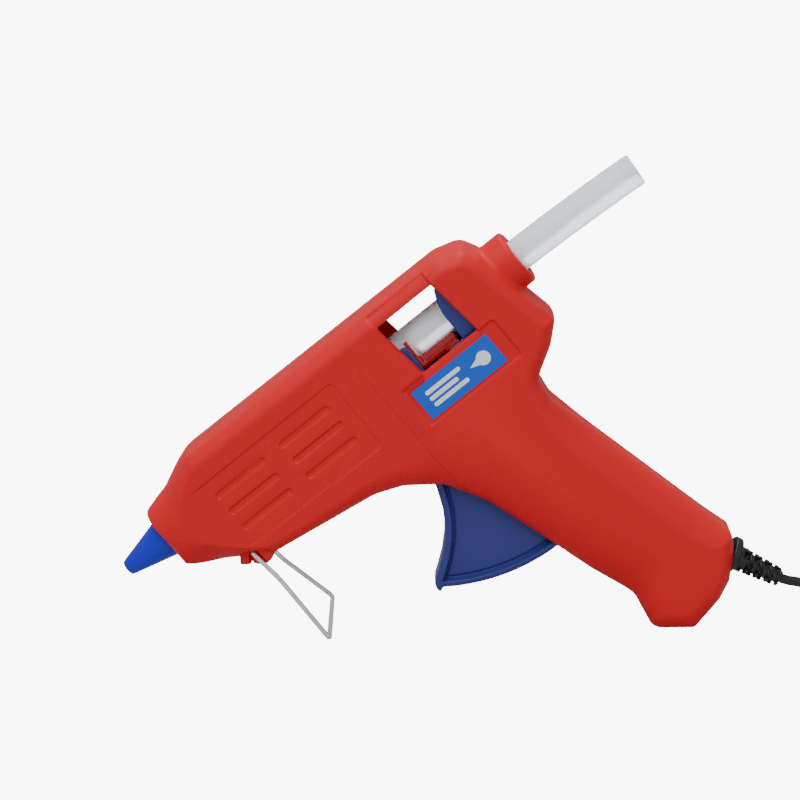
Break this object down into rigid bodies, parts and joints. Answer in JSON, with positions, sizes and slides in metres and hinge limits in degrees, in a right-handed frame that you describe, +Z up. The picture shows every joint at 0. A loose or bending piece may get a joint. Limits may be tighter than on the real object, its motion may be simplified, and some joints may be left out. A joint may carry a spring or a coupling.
{
  "type": "glue gun",
  "caption": "Trigger-fed hot glue gun with a see-through stick window, silicone nozzle sleeve, fold-out wire stand and a corded handle.",
  "frame": {"origin": "on the floor under the middle of the gun with its stick, without the cord and plug", "axes": "+Z up, the nozzle points to -X, the left side of the gun faces -Y"},
  "size_m": [0.3591, 0.0538, 0.161],
  "materials": {
    "brass": "turned or stamped brass",
    "ceramic": "off-white fired ceramic",
    "chamber": "die-cast aluminium, as cast",
    "cord": "matte black flexible PVC",
    "cradle": "dark red glossy plastic",
    "film": "amber-brown polyimide film",
    "glue": "milky translucent hot-melt glue",
    "gripper": "navy moulded plastic",
    "guide": "matte brick-red silicone",
    "housing": "satin red moulded ABS",
    "label": "blank blue printed film, semi-gloss",
    "lead_blue": "blue insulation",
    "lead_brown": "brown insulation",
    "plug": "matte black moulded PVC",
    "sleeve": "matte blue silicone",
    "steel": "bright zinc-plated steel",
    "tie": "soft navy tie",
    "trigger": "satin blue moulded plastic",
    "wire": "bright nickel-plated steel wire"
  },
  "bodies": {
    "housing": {"chamber_bracket_front": "steel", "chamber_bracket_rear": "steel", "clamp_screw_1": "steel", "clamp_screw_2": "steel", "cord": "cord", "cord_clamp": "housing", "cord_coil": "cord", "cord_inner_end": "cord", "cord_plug_end": "cord", "cord_tie": "tie", "crimp_live": "ceramic", "crimp_neutral": "ceramic", "guide_sleeve": "guide", "heater_contact_lower": "brass", "heater_contact_upper": "brass", "heater_film_lower": "film", "heater_film_upper": "film", "housing_left": "housing", "housing_right": "housing", "housing_screw_1": "steel", "housing_screw_2": "steel", "housing_screw_3": "steel", "housing_screw_4": "steel", "housing_screw_5": "steel", "housing_screw_6": "steel", "label_plate": "label", "lead_live": "lead_brown", "lead_neutral": "lead_blue", "melting_chamber": "chamber", "nozzle": "brass", "nozzle_sleeve": "sleeve", "plug_body": "plug", "plug_pin_1": "brass", "plug_pin_2": "brass", "ptc_heater": "ceramic", "return_spring": "steel", "sleeve_clamp": "steel", "strain_relief": "cord", "trigger_pin": "steel"},
    "trigger": {"trigger": "trigger"},
    "feed_cradle": {"feed_cradle": "cradle", "gripper_pin": "steel"},
    "gripper": {"stick_gripper": "gripper"},
    "stick": {"glue_stick": "glue"},
    "stand": {"wire_stand": "wire"}
  },
  "joints": [
    {"name": "trigger_pivot", "type": "hinge", "parent": "housing", "child": "trigger", "pos_m": [0.00169, 0, 0.08086], "axis": [0, -1, 0], "range_deg": [0, 20], "stiffness_Nm_per_rad": 0.3, "springref_deg": -17.19},
    {"name": "feed_slide", "type": "slide", "parent": "housing", "child": "feed_cradle", "axis": [-0.7694, 0, -0.6388], "range_m": [0, 0.0063], "deforming": ["return_spring"]},
    {"name": "gripper_pivot", "type": "hinge", "parent": "feed_cradle", "child": "gripper", "pos_m": [0.00981, 0, 0.09722], "axis": [0, -1, 0], "range_deg": [0, 6]},
    {"name": "stick_slide", "type": "slide", "parent": "housing", "child": "stick", "axis": [0.7694, 0, 0.6388], "range_m": [-0.0062, 0.11]},
    {"name": "stand_pivot", "type": "hinge", "parent": "housing", "child": "stand", "pos_m": [-0.05856, 0, 0.02772], "axis": [0, 1, 0], "range_deg": [0, 75]}
  ],
  "couplings": [
    {"joint": "feed_slide", "follows": "trigger_pivot", "m_per_rad": 0.018},
    {"joint": "gripper_pivot", "follows": "trigger_pivot", "ratio": 0.3}
  ]
}
